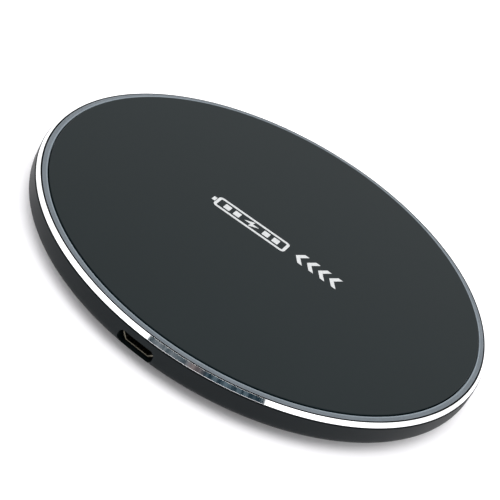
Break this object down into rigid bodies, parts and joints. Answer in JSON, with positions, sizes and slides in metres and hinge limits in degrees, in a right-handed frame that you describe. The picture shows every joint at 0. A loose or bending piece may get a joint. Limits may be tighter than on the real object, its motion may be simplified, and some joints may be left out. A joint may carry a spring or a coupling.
{
  "type": "wireless charging pad",
  "caption": "Slim round wireless charging pad: matt cover disc, frosted light ring, bright chamfered bezel, curved black case and a micro-USB socket.",
  "frame": {"origin": "centre of the pad on the plane that it rests on", "axes": "+Z out of the charging face, -Y out of the micro-USB socket"},
  "size_m": [0.1, 0.0999, 0.008],
  "materials": {
    "cover": "fine matt soft-touch charcoal",
    "light_guide": "frosted silver-grey light guide",
    "bezel": "mirror-bright diamond-cut aluminium",
    "case": "fine matt black moulded plastic",
    "foot": "matt black silicone",
    "frame": "black moulded plastic",
    "screw": "zinc-plated steel",
    "coil": "clear-enamelled copper wire",
    "ferrite": "dark grey sintered ferrite",
    "tape": "off-white double-sided tape",
    "foam": "black open-cell foam",
    "board": "green solder mask on glass-epoxy laminate",
    "chip": "black moulded epoxy",
    "capacitor": "tan ceramic chip capacitor",
    "can": "grey metal body",
    "led": "white LED package",
    "resistor": "black-topped ceramic resistor",
    "socket_shell": "nickel-plated steel",
    "contact": "gold-plated brass"
  },
  "bodies": {
    "root": {"bezel_ring": "bezel", "bridge_transistor_1": "chip", "bridge_transistor_2": "chip", "bridge_transistor_3": "chip", "bridge_transistor_4": "chip", "case_screw_1": "screw", "case_screw_2": "screw", "case_screw_3": "screw", "case_screw_4": "screw", "coil_winding": "coil", "controller_chip": "chip", "cover_tape": "tape", "crystal": "can", "ferrite_plate": "ferrite", "ferrite_tape": "tape", "foot_ring": "foot", "inner_frame": "frame", "input_capacitor_1": "capacitor", "input_capacitor_2": "capacitor", "led_1": "led", "led_2": "led", "led_3": "led", "led_4": "led", "led_5": "led", "led_6": "led", "led_7": "led", "led_8": "led", "light_ring": "light_guide", "lower_case": "case", "main_board": "board", "power_inductor": "can", "resonant_capacitor_1": "capacitor", "resonant_capacitor_2": "capacitor", "resonant_capacitor_3": "capacitor", "resonant_capacitor_4": "capacitor", "sense_resistor": "resistor", "socket_contact_1": "contact", "socket_contact_2": "contact", "socket_contact_3": "contact", "socket_contact_4": "contact", "socket_contact_5": "contact", "socket_insulator": "chip", "socket_shell": "socket_shell", "support_foam": "foam", "surge_diode": "chip", "thermistor": "resistor", "top_cover": "cover", "voltage_regulator": "chip"}
  },
  "joints": []
}
